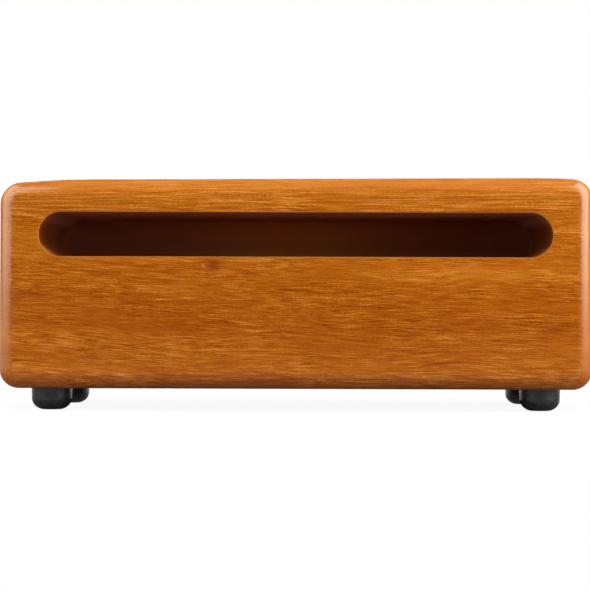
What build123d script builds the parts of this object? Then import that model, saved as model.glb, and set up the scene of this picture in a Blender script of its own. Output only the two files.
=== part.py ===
"""Concert woodblock: a slotted hardwood body on four screwed-on rubber feet.

Millimetres. The origin is on the ground under the middle of the block, +X runs along its length
to the player's right, -Y is the front, where the slot opens, and +Z is up.
"""

import os

from build123d import *

# Hardwood body
block_length = 228.6
block_depth = 101.6
block_height = 81.65  # at its tallest
edge_round = 6.35  # round-over along the front and back outlines
corner_ease = 1.15  # how much rounder the end corners are than the long edges
soft_corner_ease = 2.15  # the same at the upper left end corner, which is sanded softer
top_lean = 0.9  # how much lower the sanded top is at the left end of its flat than at the right end
right_fall = 0.45  # how far the top then falls away to the right end
right_fall_run = 30.0  # length over which it falls
left_fall = 1.65  # the same to the left end, where it is sanded most
left_fall_run = 35.0

# Sound slot, cut in from the front and closed at the back
slot_height = 16.95
top_plate = 13.8  # wood over the slot where it is thickest, the part that is struck
end_wall = 15.7  # wood between each slot end and the end of the block
back_wall = 15.5  # wood behind the slot
slot_lip_round = 0.6

# Rubber feet
foot_height = 8.55
foot_diameter = 15.9  # at the top, against the wood
foot_draft = 0.15  # how much smaller the radius is at the bottom of the straight side
foot_dome = 4.4  # height of the domed bottom, up to where the straight side starts
dome_pull_out = 2.0  # how far the dome's curve is drawn outwards from the rest ring
dome_pull_up = 0.4  # how far it rises over that
dome_pull_down = 2.6  # how far it is drawn down from the straight side
foot_rest_ring = 0.45  # width of the flat ring that the foot stands on
foot_inset_x = 18.8  # from the block's end to the foot's centre
foot_inset_y = 18.5  # from the block's face to the foot's centre
recess_depth = 4.3  # from the foot's bottom up to the washer
recess_lip_round = 0.2
shank_clearance = 0.15  # beside the screw thread, in the foot and the washer

# Washers, moulded into the feet
washer_diameter = 9.0
washer_thickness = 1.0

# Screws
screw_length = 16.0  # under the head
head_diameter = 5.6
head_height = 2.1
head_rim = 0.7  # straight side of the head under its dome
head_clearance = 0.3  # beside the head, in the foot's recess
cross_width = 3.2
cross_slot = 0.9
cross_depth = 1.2
thread_diameter = 2.9
core_diameter = 2.2
thread_pitch = 1.3
thread_crest = 0.12  # width of the thread's flat crest
thread_root = 0.7  # width of the thread where it meets the core
thread_embed = 0.4  # how far the thread's root reaches into the core
thread_runout = 0.4  # plain core between the washer and the thread
point_length = 2.4
point_flat = 0.5  # diameter left at the very tip
pilot_end_room = 1.5  # empty hole beyond the screw's tip
drill_point = 0.7  # height of the cone that the drill leaves

# Where the pieces meet
block_top = foot_height + block_height
corner_round = edge_round + corner_ease
soft_corner_round = edge_round + soft_corner_ease
slot_length = block_length - 2 * end_wall
slot_depth = block_depth - back_wall
slot_middle = block_top - top_plate - slot_height / 2
foot_x = block_length / 2 - foot_inset_x
foot_y = block_depth / 2 - foot_inset_y
bore_diameter = thread_diameter + 2 * shank_clearance
recess_diameter = head_diameter + 2 * head_clearance
foot_side_radius = foot_diameter / 2 - foot_draft
foot_side_lean = foot_draft / (foot_height - foot_dome)
rest_ring_radius = recess_diameter / 2 + recess_lip_round + foot_rest_ring
screw_tip = recess_depth + screw_length
pilot_depth = screw_tip + pilot_end_room - foot_height
thread_start = recess_depth + washer_thickness + thread_runout
thread_end = screw_tip - point_length
feet_places = {
    "front_left": (-foot_x, -foot_y),
    "front_right": (foot_x, -foot_y),
    "rear_left": (-foot_x, foot_y),
    "rear_right": (foot_x, foot_y),
}


def make_block():
    """The solid body: rounded outline, blind slot and four pilot holes in the underside."""
    half = block_length / 2
    with BuildPart() as block:
        with BuildSketch(Plane.XZ.offset(-block_depth / 2)) as outline:
            with BuildLine():
                top = Line((left_fall_run - half, block_top - top_lean), (half - right_fall_run, block_top))
                right_end = TangentArc(top @ 1, (half, block_top - right_fall), tangent=top % 1)
                left_end = TangentArc(top @ 0, (-half, block_top - top_lean - left_fall), tangent=-(top % 0))
                Polyline(right_end @ 1, (half, foot_height), (-half, foot_height), left_end @ 1)
            make_face()
            fillet(outline.vertices().group_by(Axis.X)[-1], corner_round)
            fillet(outline.vertices().group_by(Axis.X)[0].sort_by(Axis.Y)[0], corner_round)
            fillet(outline.vertices().group_by(Axis.X)[0].sort_by(Axis.Y)[-1], soft_corner_round)
        extrude(amount=block_depth)
        front = block.faces().sort_by(Axis.Y)[0]
        back = block.faces().sort_by(Axis.Y)[-1]
        fillet(front.edges() + back.edges(), edge_round)
        with BuildSketch(Plane.XZ.offset(block_depth / 2)):
            with Locations((0, slot_middle)):
                SlotOverall(slot_length, slot_height)
        extrude(amount=-slot_depth, mode=Mode.SUBTRACT)
        mouth = block.faces().sort_by(Axis.Y)[0].inner_wires()[0]
        fillet(mouth.edges(), slot_lip_round)
        with BuildSketch(Plane.XY.offset(foot_height)):
            with Locations(*feet_places.values()):
                Circle(core_diameter / 2)
        extrude(amount=pilot_depth, mode=Mode.SUBTRACT)
        with Locations(*[(x, y, foot_height + pilot_depth) for x, y in feet_places.values()]):
            Cone(
                core_diameter / 2,
                0,
                drill_point,
                align=(Align.CENTER, Align.CENTER, Align.MIN),
                mode=Mode.SUBTRACT,
            )
    return block.part


def make_foot():
    """A moulded foot: tapered side, domed bottom, screw recess and a groove round the washer."""
    with BuildPart() as foot:
        with BuildSketch(Plane.XZ):
            with BuildLine():
                dome = Bezier(
                    (rest_ring_radius, 0),
                    (rest_ring_radius + dome_pull_out, dome_pull_up),
                    (foot_side_radius - foot_side_lean * dome_pull_down, foot_dome - dome_pull_down),
                    (foot_side_radius, foot_dome),
                )
                Polyline(dome @ 1, (foot_diameter / 2, foot_height), (0, foot_height), (0, 0), dome @ 0)
            make_face()
        revolve(axis=Axis.Z)
        with BuildSketch(Plane.XY):
            Circle(recess_diameter / 2)
        extrude(amount=recess_depth, mode=Mode.SUBTRACT)
        with BuildSketch(Plane.XY.offset(recess_depth)):
            Circle(washer_diameter / 2)
        extrude(amount=washer_thickness, mode=Mode.SUBTRACT)
        with BuildSketch(Plane.XY.offset(recess_depth)):
            Circle(bore_diameter / 2)
        extrude(amount=foot_height - recess_depth, mode=Mode.SUBTRACT)
        bottom_rings = foot.edges().filter_by(GeomType.CIRCLE).group_by(Axis.Z)[0]
        fillet(bottom_rings.sort_by(SortBy.RADIUS)[0], recess_lip_round)
    return foot.part


def make_washer():
    """A flat washer, in the groove of its foot."""
    with BuildPart() as washer:
        with BuildSketch(Plane.XY.offset(recess_depth)):
            Circle(washer_diameter / 2)
            Circle(bore_diameter / 2, mode=Mode.SUBTRACT)
        extrude(amount=washer_thickness)
    return washer.part


def make_screw():
    """A pan head screw, head down: domed head, cross recess, core with its point, and the thread."""
    core_radius = core_diameter / 2
    head_radius = head_diameter / 2
    rim_bottom = recess_depth - head_rim
    head_bottom = recess_depth - head_height
    thread_reach = (thread_diameter - core_diameter) / 2
    thread_turns = int((thread_end - thread_start) / thread_pitch)
    with BuildPart() as screw:
        with BuildSketch(Plane.YZ):
            with BuildLine():
                Polyline(
                    (0, head_bottom),
                    (0, screw_tip),
                    (point_flat / 2, screw_tip),
                    (core_radius, thread_end),
                    (core_radius, recess_depth),
                    (head_radius, recess_depth),
                    (head_radius, rim_bottom),
                )
                TangentArc((0, head_bottom), (head_radius, rim_bottom), tangent=(1, 0))
            make_face()
        revolve(axis=Axis.Z)
        with BuildSketch(Plane.XY.offset(head_bottom)):
            Rectangle(cross_width, cross_slot)
            Rectangle(cross_slot, cross_width)
        extrude(amount=cross_depth, mode=Mode.SUBTRACT)
        for turn in range(thread_turns):
            turn_start = (core_radius, 0, thread_start + turn * thread_pitch)
            with BuildLine() as turn_line:
                Helix(thread_pitch, thread_pitch, core_radius, center=(0, 0, turn_start[2]))
            with BuildSketch(Plane(turn_start, x_dir=(1, 0, 0), z_dir=(0, -1, 0))):
                with BuildLine():
                    Polyline(
                        (-thread_embed, -thread_root / 2),
                        (thread_reach, -thread_crest / 2),
                        (thread_reach, thread_crest / 2),
                        (-thread_embed, thread_root / 2),
                        close=True,
                    )
                make_face()
            sweep(path=turn_line.line, is_frenet=True)
    return screw.part


def write(piece, name):
    """Name a finished piece and write it to its own file."""
    piece.label = name
    export_step(piece, f"parts/{name}.step")


os.makedirs("parts", exist_ok=True)
write(make_block(), "block")
corner_pieces = {"foot": make_foot(), "washer": make_washer(), "screw": make_screw()}
for corner, (x, y) in feet_places.items():
    for kind, piece in corner_pieces.items():
        write(piece.moved(Location((x, y, 0))), f"{kind}_{corner}")
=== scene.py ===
"""Concert woodblock: finishes for its solids, and the studio it stands in.

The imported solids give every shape. The block is finished in oiled hardwood, the feet in black moulded
rubber, and the washers and screws in bright zinc plate. Metres, +X along the block, -Y its slotted front.
"""

import math

import bmesh
import bpy
from mathutils import Matrix, Vector


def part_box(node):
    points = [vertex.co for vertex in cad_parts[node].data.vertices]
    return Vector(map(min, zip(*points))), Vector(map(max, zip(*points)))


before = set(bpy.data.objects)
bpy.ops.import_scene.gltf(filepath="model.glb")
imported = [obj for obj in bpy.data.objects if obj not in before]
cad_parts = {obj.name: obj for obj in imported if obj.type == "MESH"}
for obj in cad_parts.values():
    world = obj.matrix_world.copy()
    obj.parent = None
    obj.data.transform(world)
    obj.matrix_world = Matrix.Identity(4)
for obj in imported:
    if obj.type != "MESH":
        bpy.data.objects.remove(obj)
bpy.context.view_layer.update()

bl_info = {
    "name": "Concert woodblock",
    "version": (1, 0, 0),
    "blender": (4, 5, 0),
    "location": "View3D > Sidebar > Woodblock",
    "description": "Finishes a slotted hardwood block on rubber feet and sets up its studio",
    "category": "Material",
}

CORNERS = ("front_left", "front_right", "rear_left", "rear_right")
MM = 1000.0
SEED_SHIFT = (7.31, 3.17, 5.03)  # how far each seed moves its noise along each axis

# The block's own places, in millimetres: boxes from the imported solids, and the slot from the part's sizes
block_low, block_high = (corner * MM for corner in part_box("block"))
foot_low, foot_high = (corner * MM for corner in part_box("foot_front_right"))
foot_middle = (foot_low + foot_high) / 2
TOP_PLATE = 13.8  # wood over the slot
SLOT_HEIGHT = 16.95
END_WALL = 15.7  # wood beside each end of the slot
BACK_WALL = 15.5  # wood behind the slot
SLOT_HIGH = block_high.z - TOP_PLATE
SLOT_LOW = SLOT_HIGH - SLOT_HEIGHT
SLOT_HALF = block_high.x - END_WALL
SLOT_BACK = block_high.y - BACK_WALL
SLOT_MIDDLE = (SLOT_LOW + SLOT_HIGH) / 2
SLOT_ROUND = (SLOT_HIGH - SLOT_LOW) / 2

# Lie and tone of the wood, in millimetres and shares
KNOT = (-34.6, 55.9)  # x and z on the front face
KNOT_REACH = (3.4, 2.0)  # how far along and across the grain it parts the fibres
KNOT_PUSH = 1.6  # how far the fibres are pushed apart there
STAIN_OFFSET = (3.0, 0.3)  # from the knot to the middle of its ruddy stain
STAIN_REACH = (3.4, 2.1)
PITH = (25.0, -75.0)  # y and z of the tree's middle, under the block
PITH_REACH = 110.0  # about how far the block is from there
GRAIN_FALL_HEIGHT = 9.0  # how far the grain falls from the left end to the right
GRAIN_FALL = (  # place along the block, and share of that fall
    (0.0, 0.0),
    (0.25, 0.5),
    (0.34, 0.56),
    (0.68, 0.78),
    (0.79, 0.69),
    (0.865, 0.84),
    (1.0, 1.0),
)
PALE_AND_LIT_LEVELS = (  # place up the block, and how much lighter the wood is there: partly paler wood, partly painted light for how the light falls at each height
    (0.0, 0.0),
    (0.09, 0.62),
    (0.16, 0.5),
    (0.38, 0.0),
    (0.62, 0.52),
    (0.87, 0.76),
    (0.92, 0.95),
    (1.0, 0.0),
)
BANDS = (  # light and dark bands in the front: middle in x and z, half length, half height, how much lighter
    (62.0, 57.0, 46.0, 3.4, 0.26),
    (50.0, 35.0, 48.0, 9.0, -0.11),
    (-92.0, 47.0, 34.0, 2.4, -0.11),
    (-90.0, 17.5, 34.0, 2.8, 0.11),
)
EDGE_HIGHLIGHT_FROM = (14.0, 32.0)  # heights from which the painted highlight on the rounded edges starts, and is full
BACK_WALL_LIGHT_REACH = 62.0  # how far to each side the painted light on the slot's back wall reaches
SWAY = 6.0  # how far the fibres wander

# Size of each part of the wood's figure: along the block, through it and up it, in millimetres
SWAY_CELL = (75.0, 40.0, 24.0)  # slow bends in the fibres
RIPPLE_CELL = (12.0, 9.0, 5.0)  # short waves in them
PATCH_CELL = (26.0, 20.0, 11.0)  # patches where they are wavier and broken up
LIVELY_CELL = (32.0, 16.0, 7.0)  # stretches where they show more
BLOTCH_CELL = (45.0, 30.0, 16.0)
RUDDY_CELL = (40.0, 18.0, 5.0)
FLECK_CELL = (14.0, 0.42, 0.24)
PORE_CELL = (8.0, 0.42, 0.24)
END_PORE_CELL = (60.0, 0.42, 0.42)
GRIT_CELL = (0.9, 0.45, 0.36)
KNOT_FLECK_CELL = (0.7, 0.7, 0.9)
RING_LENGTH = 150.0  # how far along the block a ring keeps its tone
FINE_RING_CELL = (60.0, 0.9, 22.0)  # along the block, out from the pith and across the ring
RAY_CELL = (40.0, 14.0, 0.35)  # along the block, out from the pith and round it

# How far each part of the figure lightens or darkens the wood's tone
MIDDLE_TONE = 0.445  # before anything lightens or darkens it
TONE_SPREAD = 0.8  # from the tone to its place among the colours
STREAK_SHARE = 0.56
FIBRE_SHARE = 1.28
GRIT_SHARE = 0.36
FLECK_SHARE = 0.20
RING_SHARE = 0.36
BLOTCH_SHARE = 0.20
# painted highlight: how much lighter the tone of the rounded edges is
EDGE_HIGHLIGHT_SHARE = 0.06
PALE_AND_LIT_RISE = 0.30  # how much lighter the wood is at the top than at its darkest, partly paler wood and partly painted light

# Colours that the wood takes where it is stained or cut, beside those in the panel, with the painted
# highlight on its rounded edges and the painted light and shade in its slot
RUDDY_HEART = (0.43, 0.085, 0.0025, 1.0)
KNOT_BARK = (0.30, 0.055, 0.004, 1.0)
KNOT_STAIN = (0.20, 0.032, 0.002, 1.0)
KNOT_FLECK = (0.66, 0.27, 0.08, 1.0)
OILED_END = (0.21, 0.046, 0.003, 1.0)
LATE_WOOD = (0.15, 0.028, 0.002, 1.0)
RAY_FLECK = (0.50, 0.150, 0.012, 1.0)
# Painted highlight on the rounded edges, long and upright, standing in for the light they catch
PAINTED_HIGHLIGHT_LONG_EDGE = (0.41, 0.145, 0.018, 1.0)
PAINTED_HIGHLIGHT_UPRIGHT_EDGE = (0.60, 0.210, 0.018, 1.0)
RAW_SLOT = (0.52, 0.175, 0.030, 1.0)
SLOT_WALL = (0.36, 0.104, 0.084, 1.0)
SLOT_END = (0.37, 0.104, 0.018, 1.0)
# Painted shade on the slot's end walls near its mouth
SLOT_MOUTH_SHADE = (0.18, 0.036, 0.001, 1.0)
# Painted light on the middle of the slot's back wall, and a painted glint at its far corners
BACK_WALL_LIGHT = (0.80, 0.280, 0.050, 1.0)
# Painted shade on the slot's ceiling near its mouth
CEILING_MOUTH_SHADE = (0.24, 0.092, 0.060, 1.0)
# Painted light on the slot's ceiling deep inside
CEILING_DEEP_LIGHT = (0.84, 0.44, 0.27, 1.0)
# Painted shade on the slot's lower lip, dulling its highlight
LIP_SHADE = (0.20, 0.055, 0.006, 1.0)

# Rubber and plating, in millimetres
SPECKLE_CELL = (0.35, 0.35, 0.35)
BLOOM_CELL = (3.5, 3.5, 2.2)  # dusty patches on the rubber
DUST_HEIGHT = 2.6  # how high over the floor the feet are dusty
RUBBER_RELIEF = 0.06  # height of the rubber's fine texture
DULL_CELL = (1.6, 1.6, 1.6)  # dull patches in the plating
PLATE_RELIEF = 0.02  # depth of the turning marks
WASHER_MARKS = 0.25  # spacing of the turning marks
SCREW_MARKS = 0.16

# Studio, in metres
WHITE = (1.0, 1.0, 1.0, 1.0)
BLACK = (0.0, 0.0, 0.0, 1.0)
LAMP_AIM = (0.0, -0.03, 0.05)  # the point that every softbox faces
LAMP_FADE = 0.30  # share of a softbox's width over which each side fades
SOFTBOXES = (  # name, place, width, height, and the studio setting for its brightness
    ("softbox_right", (0.516, -0.279, 0.444), 0.72, 0.95, "right_level"),
    ("softbox_left", (-0.538, -0.253, 0.459), 0.95, 1.00, "left_level"),
    ("softbox_front", (0.0, -0.62, 0.62), 0.90, 0.50, "front_level"),
    ("softbox_rear", (0.0, 0.90, 0.30), 1.20, 0.50, "rear_level"),
)
FLOOR_RADIUS = 3.0
FLOOR_SIDES = 96
FLOOR_SEEN = (0.85, 0.85, 0.85, 1.0)  # the lit paper, as the camera sees it
FLOOR_IN_FRONT = (0.04, 0.04, 0.04, 1.0)  # the dark floor where the paper ends
FLOOR_GLOW = 0.93  # how much of the floor near the block is plain white rather than lit paper
SHADOW_REACH = (0.16, 0.45)  # from where the shadow thins out to where the floor is plain white
PAPER_END = (-0.20, -0.42)  # from where the paper darkens, in front of the block, to where it ends
MIRRORED_FROM = (0.0, 0.12)  # from where the floor starts to mirror as white to where it fully does
BACKDROP_EDGE = (0.55, 0.85)  # Y of the directions where the paper behind the block starts, and is full
DARK_EDGE = (-0.70, -0.97)  # the same for the dark end of the room, behind the camera
SENSOR_WIDTH = 36.0  # of the camera, in millimetres


class WoodFinish(bpy.types.PropertyGroup):
    """The block's oiled hardwood."""

    deep: bpy.props.FloatVectorProperty(
        name="Deep streaks",
        description="Colour of the darkest streaks in the grain",
        subtype="COLOR",
        default=(0.225, 0.035, 0.0008),
        min=0.0,
        max=1.0,
    )
    heart: bpy.props.FloatVectorProperty(
        name="Heartwood",
        description="Colour that most of the wood has",
        subtype="COLOR",
        default=(0.372, 0.081, 0.0003),
        min=0.0,
        max=1.0,
    )
    honey: bpy.props.FloatVectorProperty(
        name="Honey streaks",
        description="Colour of the light streaks in the grain",
        subtype="COLOR",
        default=(0.575, 0.187, 0.010),
        min=0.0,
        max=1.0,
    )
    straw: bpy.props.FloatVectorProperty(
        name="Straw flecks",
        description="Colour of the palest flecks, near the top",
        subtype="COLOR",
        default=(0.75, 0.28, 0.05),
        min=0.0,
        max=1.0,
    )
    pore: bpy.props.FloatVectorProperty(
        name="Pores",
        description="Colour of the oil-filled pores",
        subtype="COLOR",
        default=(0.15, 0.024, 0.0008),
        min=0.0,
        max=1.0,
    )
    streak_length: bpy.props.FloatProperty(
        name="Streak length",
        description="How far a streak runs along the block",
        unit="LENGTH",
        default=0.024,
        min=0.004,
        max=0.2,
    )
    streak_width: bpy.props.FloatProperty(
        name="Streak width",
        description="How thick a streak is across the grain",
        unit="LENGTH",
        default=0.00046,
        min=0.0003,
        max=0.01,
    )
    fibre_length: bpy.props.FloatProperty(
        name="Fibre length",
        description="Length of the short fibres between the streaks",
        unit="LENGTH",
        default=0.0078,
        min=0.001,
        max=0.1,
    )
    fibre_width: bpy.props.FloatProperty(
        name="Fibre width",
        description="Thickness of the short fibres",
        unit="LENGTH",
        default=0.00023,
        min=0.0001,
        max=0.005,
    )
    ring_width: bpy.props.FloatProperty(
        name="Ring width",
        description="Distance between growth rings on the end grain",
        unit="LENGTH",
        default=0.0055,
        min=0.001,
        max=0.05,
    )
    grain_depth: bpy.props.FloatProperty(
        name="Grain depth",
        description="How deep the open pores lie in the surface",
        unit="LENGTH",
        default=0.00006,
        min=0.0,
        max=0.001,
    )


class RubberFinish(bpy.types.PropertyGroup):
    """The feet's moulded rubber."""

    black: bpy.props.FloatVectorProperty(
        name="Rubber",
        description="Colour of the clean rubber",
        subtype="COLOR",
        default=(0.027, 0.027, 0.026),
        min=0.0,
        max=1.0,
    )
    dust: bpy.props.FloatVectorProperty(
        name="Dust",
        description="Colour of the dust that clings to the rubber",
        subtype="COLOR",
        default=(0.065, 0.063, 0.057),
        min=0.0,
        max=1.0,
    )


class PlateFinish(bpy.types.PropertyGroup):
    """The zinc plate of the washers and screws."""

    zinc: bpy.props.FloatVectorProperty(
        name="Zinc",
        description="Colour of the bright plating",
        subtype="COLOR",
        default=(0.60, 0.60, 0.59),
        min=0.0,
        max=1.0,
    )
    stain: bpy.props.FloatVectorProperty(
        name="Stain",
        description="Colour of the dull patches in the plating",
        subtype="COLOR",
        default=(0.36, 0.35, 0.33),
        min=0.0,
        max=1.0,
    )


class Studio(bpy.types.PropertyGroup):
    """The lamps, the floor and the camera."""

    right_level: bpy.props.FloatProperty(
        name="Right softbox",
        description="Brightness of the softbox on the right, where 1 is white paper",
        default=4.5,
        min=0.0,
    )
    left_level: bpy.props.FloatProperty(
        name="Left softbox",
        description="Brightness of the softbox on the left",
        default=2.6,
        min=0.0,
    )
    front_level: bpy.props.FloatProperty(
        name="Front softbox",
        description="Brightness of the softbox over the camera",
        default=0.3,
        min=0.0,
    )
    rear_level: bpy.props.FloatProperty(
        name="Rear softbox",
        description="Brightness of the softbox behind the block",
        default=2.0,
        min=0.0,
    )
    room_level: bpy.props.FloatProperty(
        name="Room",
        description="Brightness of the room round the block",
        default=0.05,
        min=0.0,
    )
    dark_level: bpy.props.FloatProperty(
        name="Dark end",
        description="Brightness of the dark end of the room, behind the camera",
        default=0.03,
        min=0.0,
    )
    paper_level: bpy.props.FloatProperty(
        name="Backdrop",
        description="Brightness of the white paper behind the block",
        default=1.0,
        min=0.0,
    )
    floor: bpy.props.FloatVectorProperty(
        name="Floor",
        description="Colour of the floor as it lights the block from below",
        subtype="COLOR",
        default=(0.25, 0.25, 0.25),
        min=0.0,
        max=1.0,
    )
    camera_place: bpy.props.FloatVectorProperty(
        name="Camera",
        description="Where the camera stands",
        subtype="TRANSLATION",
        unit="LENGTH",
        default=(0.00809, -0.87417, 0.03692),
    )
    camera_turn: bpy.props.FloatVectorProperty(
        name="Camera turn",
        description="How far the camera tips up, rolls and turns, from looking level along +Y",
        subtype="EULER",
        default=(math.radians(0.533), math.radians(-0.181), math.radians(0.574)),
    )
    lens: bpy.props.FloatProperty(
        name="Lens",
        description="Focal length in millimetres on a frame 36 mm wide",
        default=131.14,
        min=10.0,
    )


class Wire:
    """A shader socket to write sums with: each operator adds the node that works it out."""

    def __init__(self, tree, socket=None):
        self.tree = tree
        self.socket = socket

    def node(self, kind, settings=None, inputs=None, output=0):
        """Adds one node, its settings first, then what its sockets hold or take, and gives one output."""
        made = self.tree.nodes.new(kind)
        for name, value in (settings or {}).items():
            if name == "ramp":
                lay_stops(made.color_ramp, *value)
            else:
                setattr(made, name, value)
        for name, value in (inputs or {}).items():
            if isinstance(value, Wire):
                self.tree.links.new(value.socket, made.inputs[name])
            else:
                made.inputs[name].default_value = value
        return Wire(self.tree, made.outputs[output] if made.outputs else None)

    def maths(self, operation, *values):
        return self.node("ShaderNodeMath", {"operation": operation}, dict(enumerate(values)))

    def __add__(self, other):
        return self.maths("ADD", self, other)

    __radd__ = __add__

    def __sub__(self, other):
        return self.maths("SUBTRACT", self, other)

    def __rsub__(self, other):
        return self.maths("SUBTRACT", other, self)

    def __mul__(self, other):
        return self.maths("MULTIPLY", self, other)

    __rmul__ = __mul__

    def __truediv__(self, other):
        return self.maths("DIVIDE", self, other)

    def __neg__(self):
        return self.maths("MULTIPLY", self, -1.0)

    def __abs__(self):
        return self.maths("ABSOLUTE", self)

    def step(self, low, high):
        """0 below low, 1 above high, smooth between. Falls instead where high is the lower one."""
        ends = {"Value": self, "From Min": low, "From Max": high, "To Min": 0.0, "To Max": 1.0}
        if low > high:
            ends.update({"From Min": high, "From Max": low, "To Min": 1.0, "To Max": 0.0})
        return self.node("ShaderNodeMapRange", {"interpolation_type": "SMOOTHSTEP"}, ends)

    def bell(self, across, up):
        """1 where both distances are 0, falling smoothly to 0 on all sides."""
        return self.maths("EXPONENT", -(across * across + up * up))

    def vector(self, operation, *values, output=0):
        return self.node("ShaderNodeVectorMath", {"operation": operation}, dict(enumerate(values)), output)

    def place(self):
        """Where a point is on the object, in millimetres."""
        metres = self.node("ShaderNodeTexCoord", None, None, "Object")
        return self.node("ShaderNodeVectorMath", {"operation": "SCALE"}, {0: metres, "Scale": MM})

    def parts(self):
        """The three numbers of a vector."""
        split = self.node("ShaderNodeSeparateXYZ", None, {0: self}).socket.node
        return [Wire(self.tree, out) for out in split.outputs]

    def join(self, x, y, z):
        return self.node("ShaderNodeCombineXYZ", None, {0: x, 1: y, 2: z})

    def blend(self, mask, first, second):
        """A colour that goes from first to second as mask goes from 0 to 1."""
        colours = {0: mask, 6: first, 7: second}  # the numbers of the node's sockets for colours
        return self.node("ShaderNodeMix", {"data_type": "RGBA"}, colours, 2)

    def cloud(self, place, cell, seed=0.0, detail=1.0, output=0):
        """Smooth noise over a place in millimetres, with cells of the given size along each axis.

        Each seed gives noise of its own.
        """
        scale = tuple(1.0 / size for size in cell)
        moved = self.vector("MULTIPLY_ADD", place, scale, tuple(seed * shift for shift in SEED_SHIFT))
        inputs = {"Vector": moved, "Scale": 1.0, "Detail": detail}
        return self.node("ShaderNodeTexNoise", None, inputs, output)


def lay_stops(ramp, interpolation, stops):
    """Sets how a ramp blends, and its stops from pairs of position and colour or grey."""
    ramp.interpolation = interpolation
    while len(ramp.elements) < len(stops):
        ramp.elements.new(1.0)
    for element, (position, colour) in zip(ramp.elements, stops):
        if isinstance(colour, float):
            colour = (colour, colour, colour)
        element.position = position
        element.color = (*colour, 1.0)


def start_material(name):
    """An empty material and the wire that its nodes are added through."""
    material = bpy.data.materials.new(name)
    material.use_nodes = True
    material.node_tree.nodes.clear()
    return material, Wire(material.node_tree)


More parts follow.
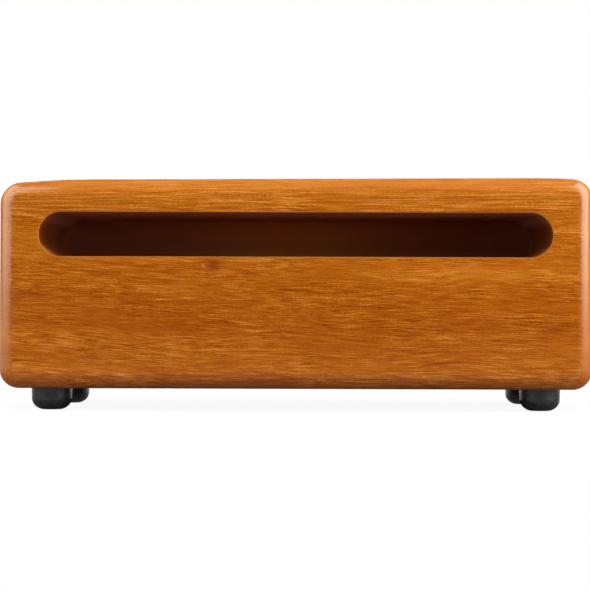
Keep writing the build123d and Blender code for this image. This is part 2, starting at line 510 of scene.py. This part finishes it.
class Timber:
    """The block's wood as wires: where a point is, how the grain lies there, and what finish that gives."""

    def __init__(self, w, look):
        self.w = w
        self.look = look
        self.place = w.place()
        self.x, self.y, self.z = self.place.parts()
        facing = w.node("ShaderNodeTexCoord", None, None, "Normal")
        self.facing_x, self.facing_y, self.facing_z = facing.parts()
        self.over_slot = self.z.step(SLOT_HIGH - 4.0, SLOT_HIGH + 1.0)
        self.turned = abs(self.facing_x).step(0.10, 0.45)  # round the upright edges and on the ends
        self.end_grain = abs(self.facing_x).step(0.70, 0.97)
        self.lay_grain()
        self.draw_fibres()
        self.find_edges()

    def lay_grain(self):
        """The fibres fall to the right in steps, run level under the top and part around the knot."""
        w, x, y, z = self.w, self.x, self.y, self.z
        along = (x - block_low.x) / (block_high.x - block_low.x)
        fall = w.node("ShaderNodeValToRGB", {"ramp": ("B_SPLINE", GRAIN_FALL)}, {0: along})
        self.fall = fall * GRAIN_FALL_HEIGHT * z.step(block_high.z - 4.0, block_high.z - 34.0)
        sway = w.cloud(self.place, SWAY_CELL, 1.0, 1.0, 1).parts()
        ripple = w.cloud(self.place, RIPPLE_CELL, 2.0, 1.0, 1).parts()
        self.patch = w.cloud(self.place, PATCH_CELL, 3.0).step(0.50, 0.64)

        knot_x = (x - KNOT[0]) / KNOT_REACH[0]
        knot_z = (z - KNOT[1]) / KNOT_REACH[1]
        self.knot_near = w.bell(knot_x, knot_z) * y.step(block_low.y + 22.0, block_low.y + 4.0)

        fibre_y = y + (sway[1] - 0.5) * SWAY
        wander = (sway[2] - 0.5) * SWAY + (ripple[2] - 0.5) * (0.4 + 0.7 * self.patch)
        fibre_z = z + self.fall + wander * (1.0 - self.over_slot * 0.75)
        self.fibre_z = fibre_z - knot_z * self.knot_near * KNOT_PUSH
        self.fibres = w.join(x, fibre_y, self.fibre_z)

        # Growth rings stand about a pith under the block, behind its middle
        self.pith_y = fibre_y - PITH[0]
        self.pith_z = self.fibre_z - PITH[1]
        self.radius = w.maths("SQRT", self.pith_y * self.pith_y + self.pith_z * self.pith_z)
        self.ring_place = w.join(x, self.radius, self.pith_y)

    def draw_fibres(self):
        """Long streaks, short fibres, broken up in patches and drawn out over the slot, and open pores."""
        w, look, fibres = self.w, self.look, self.fibres
        streak = (look.streak_length * MM, look.streak_width * MM * 1.5, look.streak_width * MM)
        self.streaks = w.cloud(fibres, streak, 5.0, 2.0)
        length, deep, width = (look.fibre_length * MM, look.fibre_width * MM * 1.4, look.fibre_width * MM)
        short = w.cloud(fibres, (length, deep, width), 6.0)
        broken = w.cloud(fibres, (length * 0.45, deep, width), 7.0)
        drawn = w.cloud(fibres, (length * 9.0, deep, width), 11.0)
        short = short + (broken - short) * self.patch * 0.45
        self.short = short + (drawn - short) * self.over_slot * 0.8
        self.pores = w.cloud(fibres, PORE_CELL, 8.0, 0.0).step(0.60, 0.69) * (1.0 - self.turned)
        self.end_pores = w.cloud(self.place, END_PORE_CELL, 18.0, 1.0).step(0.54, 0.66)

    def find_edges(self):
        """Where the rounded edges are, the inside of the slot and the rim of its mouth."""
        w, y, z = self.w, self.y, self.z
        squarest = w.maths("MAXIMUM", abs(self.facing_y), abs(self.facing_z))
        squarest = w.maths("MAXIMUM", abs(self.facing_x), squarest)
        ends_x = w.maths("MAXIMUM", abs(self.x) - (SLOT_HALF - SLOT_ROUND), 0.0)
        ends_z = z - SLOT_MIDDLE
        from_slot = w.maths("SQRT", ends_x * ends_x + ends_z * ends_z) - SLOT_ROUND
        # The rounded edges above the bottom, which get a painted highlight
        self.edge = squarest.step(0.985, 0.86) * from_slot.step(0.5, 1.0) * z.step(*EDGE_HIGHLIGHT_FROM)
        self.inside = from_slot.step(0.5, 0.2) * y.step(SLOT_BACK + 1.0, SLOT_BACK + 0.2)
        self.rim = from_slot.step(0.9, 0.5) * y.step(block_low.y + 1.0, block_low.y + 0.5)

    def grain_colour(self):
        """Tones of the rings, streaks and fibres, with light and dark bands, pores and ruddy patches."""
        w, look = self.w, self.look
        ring = look.ring_width * MM
        rings = w.cloud(self.ring_place, (RING_LENGTH, ring, ring * 9.0), 4.0, 2.0)
        grit = w.cloud(self.fibres, GRIT_CELL, 12.0, 0.0)
        flecks = w.cloud(self.fibres, FLECK_CELL, 9.0, 0.0).step(0.56, 0.67)
        blotch = w.cloud(self.place, BLOTCH_CELL, 10.0, 1.0)
        lively = 0.72 + 0.48 * w.cloud(self.fibres, LIVELY_CELL, 13.0, 1.0).step(0.36, 0.60)

        fine = (self.streaks - 0.5) * STREAK_SHARE + (self.short - 0.5) * FIBRE_SHARE
        fine = fine + (grit - 0.5) * GRIT_SHARE + flecks * FLECK_SHARE
        fine = fine * (1.0 + 0.36 * self.over_slot)
        fine = fine + fine * fine * 0.5
        tone = MIDDLE_TONE + (rings - 0.5) * RING_SHARE + fine * lively * (1.0 - self.turned * 0.6)
        tone = tone + (blotch - 0.5) * BLOTCH_SHARE
        for middle_x, middle_z, half_length, half_height, lighter in BANDS:
            band_x = (self.x - middle_x) / half_length
            band_z = (self.fibre_z - self.fall * 0.5 - middle_z) / half_height
            tone = tone + w.bell(band_x, band_z) * lighter
        # Lighter at some heights, partly paler wood and partly painted light, and a painted highlight on the
        # rounded edges
        upward = (self.z - block_low.z) / (block_high.z - block_low.z)
        paler = w.node("ShaderNodeValToRGB", {"ramp": ("B_SPLINE", PALE_AND_LIT_LEVELS)}, {0: upward})
        tone = tone + paler * PALE_AND_LIT_RISE + self.edge * EDGE_HIGHLIGHT_SHARE

        tones = ((0.14, look.deep), (0.40, look.heart), (0.69, look.honey), (1.0, look.straw))
        stops = [(position, tuple(shade)) for position, shade in tones]
        colour = w.node("ShaderNodeValToRGB", {"ramp": ("LINEAR", stops)}, {0: tone * TONE_SPREAD})
        colour = w.blend(self.pores * 0.22, colour, (*look.pore, 1.0))
        ruddy = w.cloud(self.fibres, RUDDY_CELL, 14.0, 1.0).step(0.45, 0.70)
        return w.blend(ruddy * 0.22, colour, RUDDY_HEART)

    def with_knot(self, colour):
        """The pin knot just under the slot: its bark, its pale flecks and the ruddy stain beside it."""
        w = self.w
        stain_x = (self.x - KNOT[0] - STAIN_OFFSET[0]) / STAIN_REACH[0]
        stain_z = (self.z - KNOT[1] - STAIN_OFFSET[1]) / STAIN_REACH[1]
        stain = w.bell(stain_x, stain_z) * self.y.step(block_low.y + 14.0, block_low.y + 2.0)
        flecks = w.cloud(self.place, KNOT_FLECK_CELL, 15.0, 1.0).step(0.50, 0.60)
        colour = w.blend(self.knot_near * 0.34, colour, KNOT_BARK)
        colour = w.blend(stain * 0.80, colour, KNOT_STAIN)
        return w.blend(self.knot_near.step(0.70, 0.95) * flecks * 0.62, colour, KNOT_FLECK)

    def with_end_grain(self, colour):
        """The two ends, which drink more oil and show rings, rays and open pores."""
        w, ends = self.w, self.end_grain
        fine_rings = w.cloud(self.ring_place, FINE_RING_CELL, 16.0, 2.0).step(0.50, 0.66)
        turn = w.maths("ARCTAN2", self.pith_y, self.pith_z) * PITH_REACH
        rays = w.cloud(w.join(self.x, self.radius, turn), RAY_CELL, 17.0, 1.0).step(0.56, 0.68)
        colour = w.blend(ends * 0.50, colour, OILED_END)
        colour = w.blend(ends * fine_rings * 0.45, colour, LATE_WOOD)
        colour = w.blend(ends * rays * 0.30, colour, RAY_FLECK)
        return w.blend(ends * self.end_pores * 0.55, colour, (*self.look.pore, 1.0))

    def with_edge_highlights(self, colour):
        """The rounded edges made paler: a painted highlight, standing in for the light that they catch."""
        rubbed_foot_and_edge_highlight = self.w.blend(self.turned, PAINTED_HIGHLIGHT_LONG_EDGE, PAINTED_HIGHLIGHT_UPRIGHT_EDGE)
        return self.w.blend(self.edge * (0.30 + 0.35 * self.streaks), colour, rubbed_foot_and_edge_highlight)

    def with_slot_light_and_shade(self, colour):
        """The slot, left as the cutter leaves it, with painted light and shade: darker end walls and ceiling
        at its mouth, a paler ceiling deep inside, a paler back wall in the middle and towards its top, a
        glint at its far corners and a darker lower lip.
        """
        w, y, inside, ends = self.w, self.y, self.inside, self.end_grain
        depth = y.step(block_low.y + 4.0, block_low.y + 60.0)
        to_front = self.facing_y.step(-0.5, -0.9)
        middle = w.bell(self.x / BACK_WALL_LIGHT_REACH, 0.0) * to_front
        # Where a painted glint goes, at the slot's far corners
        corner = ends * y.step(SLOT_BACK - 14.0, SLOT_BACK - 6.0)
        ceiling = inside * self.facing_z.step(-0.5, -0.9)
        walls = inside * self.facing_z.step(0.8, 0.4) * y.step(block_low.y + 1.0, block_low.y + 6.0)
        lip = self.rim * self.facing_z.step(0.0, 0.5)
        layers = (
            (inside * 0.62, RAW_SLOT),
            (walls * 0.85, SLOT_WALL),
            (inside * ends * 0.9, SLOT_END),
            (inside * (middle * 0.75 + corner * 0.35), BACK_WALL_LIGHT),
            (inside * ends * (1.0 - depth) * 0.85, SLOT_MOUTH_SHADE),
            (ceiling * (1.0 - depth) * 0.8, CEILING_MOUTH_SHADE),
            (ceiling * depth * 0.9, CEILING_DEEP_LIGHT),
            (lip * 0.55, LIP_SHADE),
        )
        for mask, shade in layers:
            colour = w.blend(mask, colour, shade)
        # Painted light: the back wall made paler towards its top, where the ceiling shades it
        upper_back_light = inside * to_front * self.z.step(SLOT_LOW + 5.0, SLOT_HIGH - 4.0)
        paler = {0: colour, "Scale": 1.0 + upper_back_light * 0.32}
        return w.node("ShaderNodeVectorMath", {"operation": "SCALE"}, paler)

    def gloss(self):
        """Roughness, weight of the oil coat, and height of the open grain.

        The struck top is worn dry, and keeps its oil along the front edge near both ends.
        """
        x, y, z, pores = self.x, self.y, self.z, self.pores
        worn = z.step(block_high.z - 11.0, block_high.z - 6.0) * abs(self.facing_x).step(0.40, 0.10)
        between = x.step(block_low.x + 9.0, block_low.x + 27.0)
        between = between * x.step(block_high.x - 4.0, block_high.x - 12.0)
        worn = worn * (1.0 - (1.0 - between) * y.step(block_low.y + 16.0, block_low.y + 7.0))
        under = z.step(block_low.z + 9.0, block_low.z + 2.0)
        sheen = 0.22 + (self.streaks - 0.5) * 0.14 + (self.short - 0.5) * 0.08 + pores * 0.06
        sheen = sheen + self.inside * 0.30 + worn * 0.38
        coat = (0.95 - pores * 0.35) * (1.0 - self.inside) * (1.0 - worn * 0.96)
        coat = coat * (1.0 - self.end_grain * 0.75) * (1.0 - under * 0.6) * (1.0 - self.rim * 0.6)
        height = self.streaks * 0.35 + self.short * 0.45 - pores * 0.9
        height = height * (1.0 - self.turned * 0.85) * (1.0 - worn * 0.6)
        height = height - self.end_pores * self.end_grain * 0.5
        return sheen, coat, height


def finish_material(material, w, relief, surface):
    """Ends a material in one shader, given what raises its surface and what the shader's sockets take."""
    bump = w.node("ShaderNodeBump", None, relief)
    shader = w.node("ShaderNodeBsdfPrincipled", None, {**surface, "Normal": bump})
    w.node("ShaderNodeOutputMaterial", None, {"Surface": shader})
    return material


def oiled_hardwood(look):
    """Straight-grained heartwood, solid through the block, under a rubbed oil finish."""
    material, w = start_material("oiled_hardwood")
    wood = Timber(w, look)
    colour = wood.grain_colour()
    for added in (wood.with_knot, wood.with_end_grain, wood.with_edge_highlights, wood.with_slot_light_and_shade):
        colour = added(colour)
    sheen, coat, height = wood.gloss()
    relief = {"Strength": 0.30, "Distance": look.grain_depth, "Height": height}
    surface = {
        "Base Color": colour,
        "Roughness": sheen,
        "Specular IOR Level": 0.10,
        "Coat Weight": coat,
        "Coat Roughness": 0.20,
        "Coat IOR": 1.62,
    }
    return finish_material(material, w, relief, surface)


def moulded_rubber(look):
    """Black moulded rubber, faintly dusty towards the floor."""
    material, w = start_material("moulded_rubber")
    place = w.place()
    z = place.parts()[2]
    speckle = w.cloud(place, SPECKLE_CELL, 1.0, 3.0)
    bloom = w.cloud(place, BLOOM_CELL, 2.0, 2.0)
    rubbed_foot_and_edge_highlight = z.step(DUST_HEIGHT, 0.0)
    dust = (bloom.step(0.45, 0.75) * 0.35 + rubbed_foot_and_edge_highlight * 0.55) * speckle.step(0.35, 0.65)
    colour = w.blend(dust, (*look.black, 1.0), (*look.dust, 1.0))
    sheen = 0.25 + (bloom - 0.5) * 0.25 + (speckle - 0.5) * 0.12 + rubbed_foot_and_edge_highlight * 0.2
    relief = {"Strength": 0.25, "Distance": RUBBER_RELIEF / MM, "Height": speckle}
    surface = {"Base Color": colour, "Roughness": sheen, "Specular IOR Level": 0.76}
    return finish_material(material, w, relief, surface)


def zinc_plate(name, look, mark_step):
    """Bright zinc plate with turning marks about each screw's axis and dull patches."""
    material, w = start_material(name)
    place = w.place()
    x, y, z = place.parts()
    across = abs(x) - abs(foot_middle.x)
    deep = abs(y) - abs(foot_middle.y)
    reach = w.maths("SQRT", across * across + deep * deep)
    marks = w.cloud(w.join(reach, z, 0.0), (mark_step, mark_step, 1.0), 1.0, 3.0)
    patches = w.cloud(place, DULL_CELL, 2.0, 3.0).step(0.45, 0.75)
    colour = w.blend(patches * 0.6, (*look.zinc, 1.0), (*look.stain, 1.0))
    sheen = 0.26 + (marks - 0.5) * 0.25 + patches * 0.18
    relief = {"Strength": 0.3, "Distance": PLATE_RELIEF / MM, "Height": marks}
    surface = {"Base Color": colour, "Metallic": 1.0, "Roughness": sheen}
    return finish_material(material, w, relief, surface)


def dress(node, material):
    """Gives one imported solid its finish, in every slot that its mesh has."""
    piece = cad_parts[node]
    if not piece.material_slots:
        raise RuntimeError(f"{node} has no material slot to finish")
    for place in piece.material_slots:
        place.material = material


def softbox(name, place, width, height, level):
    """A soft lamp that fades towards its sides and that the camera doesn't see.

    The width is where it has faded by half, and the brightness is that of its middle.
    """
    lamp = bpy.data.lights.new(name, "AREA")
    lamp.shape = "RECTANGLE"
    lamp.size = width / (1.0 - LAMP_FADE)
    lamp.size_y = height
    lamp.energy = level * math.pi * lamp.size * lamp.size_y
    lamp.use_nodes = True
    lamp.node_tree.nodes.clear()
    w = Wire(lamp.node_tree)
    across = w.node("ShaderNodeNewGeometry", None, None, "Parametric").parts()[0]
    fade = (0.5 - abs(across - 0.5)).step(0.0, LAMP_FADE)
    colour = w.blend(fade, BLACK, WHITE)
    glow = w.node("ShaderNodeEmission", None, {"Color": colour, "Strength": 1.0})
    w.node("ShaderNodeOutputLight", None, {"Surface": glow})
    stand = bpy.data.objects.new(name, lamp)
    stand.location = place
    stand.rotation_euler = (Vector(LAMP_AIM) - Vector(place)).to_track_quat("-Z", "Y").to_euler()
    stand.visible_camera = False
    bpy.context.scene.collection.objects.link(stand)


def lay_floor(look):
    """A wide floor. It looks white, with a pale shadow near the block, and the paper on it ends in front."""
    mesh = bpy.data.meshes.new("floor")
    shape = bmesh.new()
    bmesh.ops.create_circle(shape, cap_ends=True, segments=FLOOR_SIDES, radius=FLOOR_RADIUS)
    shape.to_mesh(mesh)
    shape.free()
    floor = bpy.data.objects.new("floor", mesh)
    bpy.context.scene.collection.objects.link(floor)
    material, w = start_material("floor_paper")
    place = w.node("ShaderNodeTexCoord", None, None, "Object")
    deep = place.parts()[1]
    rays = w.node("ShaderNodeLightPath").socket.node.outputs
    seen = Wire(w.tree, rays["Is Camera Ray"])
    mirrored = Wire(w.tree, rays["Is Glossy Ray"]) + Wire(w.tree, rays["Is Transmission Ray"])
    colour = w.blend(deep.step(*PAPER_END), (*look.floor, 1.0), FLOOR_IN_FRONT)
    colour = w.blend(seen, colour, FLOOR_SEEN)
    lit = w.node("ShaderNodeBsdfDiffuse", None, {"Color": colour})
    white = w.node("ShaderNodeEmission", None, {"Color": WHITE, "Strength": 1.0})
    far = w.vector("LENGTH", place, output="Value").step(*SHADOW_REACH)
    glow = seen * (FLOOR_GLOW + far * (1.0 - FLOOR_GLOW)) + mirrored * deep.step(*MIRRORED_FROM)
    shader = w.node("ShaderNodeMixShader", None, {0: glow, 1: lit, 2: white})
    w.node("ShaderNodeOutputMaterial", None, {"Surface": shader})
    mesh.materials.append(material)


def hang_backdrop(look):
    """White all round for the camera. The block is in a dim room with white paper hung behind it."""
    world = bpy.data.worlds.new("studio")
    bpy.context.scene.world = world
    world.use_nodes = True
    world.node_tree.nodes.clear()
    w = Wire(world.node_tree)
    back = w.node("ShaderNodeTexCoord", None, None, "Generated").parts()[1]
    paper = back.step(*BACKDROP_EDGE)
    dark = back.step(*DARK_EDGE)
    room = look.room_level + paper * (look.paper_level - look.room_level)
    room = room - dark * (look.room_level - look.dark_level)
    seen = w.node("ShaderNodeLightPath", None, None, "Is Camera Ray")
    level = room + seen * (1.0 - room)
    shader = w.node("ShaderNodeBackground", None, {"Color": WHITE, "Strength": level})
    w.node("ShaderNodeOutputWorld", None, {"Surface": shader})


def set_camera(look):
    """The camera, where the photograph was taken from."""
    lens = bpy.data.cameras.new("camera")
    lens.sensor_fit = "HORIZONTAL"
    lens.sensor_width = SENSOR_WIDTH
    lens.lens = look.lens
    lens.clip_start = 0.01
    lens.clip_end = 100.0
    camera = bpy.data.objects.new("camera", lens)
    bpy.context.scene.collection.objects.link(camera)
    tip, roll, turn = look.camera_turn
    level = Matrix.Rotation(math.radians(90.0), 4, "X")
    aim = Matrix.Rotation(turn, 4, "Z") @ Matrix.Rotation(tip, 4, "X") @ Matrix.Rotation(roll, 4, "Y")
    camera.matrix_world = Matrix.Translation(look.camera_place) @ aim @ level
    bpy.context.scene.camera = camera


class WOODBLOCK_OT_oil_block(bpy.types.Operator):
    """Finish the block in oiled hardwood"""

    bl_idname = "woodblock.oil_block"
    bl_label = "Oil the block"

    def execute(self, context):
        dress("block", oiled_hardwood(context.scene.woodblock_wood))
        return {"FINISHED"}


class WOODBLOCK_OT_mould_feet(bpy.types.Operator):
    """Finish the four feet in moulded rubber"""

    bl_idname = "woodblock.mould_feet"
    bl_label = "Mould the feet"

    def execute(self, context):
        rubber = moulded_rubber(context.scene.woodblock_rubber)
        for corner in CORNERS:
            dress(f"foot_{corner}", rubber)
        return {"FINISHED"}


class WOODBLOCK_OT_plate_washers(bpy.types.Operator):
    """Finish the four washers in zinc plate"""

    bl_idname = "woodblock.plate_washers"
    bl_label = "Plate the washers"

    def execute(self, context):
        plate = zinc_plate("washer_plate", context.scene.woodblock_plate, WASHER_MARKS)
        for corner in CORNERS:
            dress(f"washer_{corner}", plate)
        return {"FINISHED"}


class WOODBLOCK_OT_plate_screws(bpy.types.Operator):
    """Finish the four screws in zinc plate"""

    bl_idname = "woodblock.plate_screws"
    bl_label = "Plate the screws"

    def execute(self, context):
        plate = zinc_plate("screw_plate", context.scene.woodblock_plate, SCREW_MARKS)
        for corner in CORNERS:
            dress(f"screw_{corner}", plate)
        return {"FINISHED"}


class WOODBLOCK_OT_set_stage(bpy.types.Operator):
    """Lay the floor, hang the backdrop, place the softboxes and the camera"""

    bl_idname = "woodblock.set_stage"
    bl_label = "Set the stage"

    def execute(self, context):
        look = context.scene.woodblock_studio
        context.scene.view_settings.view_transform = "Standard"
        lay_floor(look)
        hang_backdrop(look)
        for name, place, width, height, level in SOFTBOXES:
            softbox(name, place, width, height, getattr(look, level))
        set_camera(look)
        return {"FINISHED"}


class WOODBLOCK_PT_finishes(bpy.types.Panel):
    """The woodblock's finishes and studio"""

    bl_idname = "WOODBLOCK_PT_finishes"
    bl_label = "Woodblock"
    bl_space_type = "VIEW_3D"
    bl_region_type = "UI"
    bl_category = "Woodblock"

    def draw(self, context):
        for holder, operators in PANEL_ROWS:
            box = self.layout.box()
            look = getattr(context.scene, holder)
            for name in type(look).__annotations__:
                box.prop(look, name)
            for operator in operators:
                box.operator(operator)


PANEL_ROWS = (
    ("woodblock_wood", ("woodblock.oil_block",)),
    ("woodblock_rubber", ("woodblock.mould_feet",)),
    ("woodblock_plate", ("woodblock.plate_washers", "woodblock.plate_screws")),
    ("woodblock_studio", ("woodblock.set_stage",)),
)
LOOKS = {
    "woodblock_wood": WoodFinish,
    "woodblock_rubber": RubberFinish,
    "woodblock_plate": PlateFinish,
    "woodblock_studio": Studio,
}
OPERATORS = (
    WOODBLOCK_OT_oil_block,
    WOODBLOCK_OT_mould_feet,
    WOODBLOCK_OT_plate_washers,
    WOODBLOCK_OT_plate_screws,
    WOODBLOCK_OT_set_stage,
)


def register():
    for holder, look in LOOKS.items():
        bpy.utils.register_class(look)
        setattr(bpy.types.Scene, holder, bpy.props.PointerProperty(type=look))
    for operator in OPERATORS:
        bpy.utils.register_class(operator)
    bpy.utils.register_class(WOODBLOCK_PT_finishes)


def unregister():
    bpy.utils.unregister_class(WOODBLOCK_PT_finishes)
    for operator in reversed(OPERATORS):
        bpy.utils.unregister_class(operator)
    for holder, look in LOOKS.items():
        delattr(bpy.types.Scene, holder)
        bpy.utils.unregister_class(look)


def main():
    register()
    bpy.ops.woodblock.oil_block()
    bpy.ops.woodblock.mould_feet()
    bpy.ops.woodblock.plate_washers()
    bpy.ops.woodblock.plate_screws()
    bpy.ops.woodblock.set_stage()


if __name__ == "__main__":
    main()
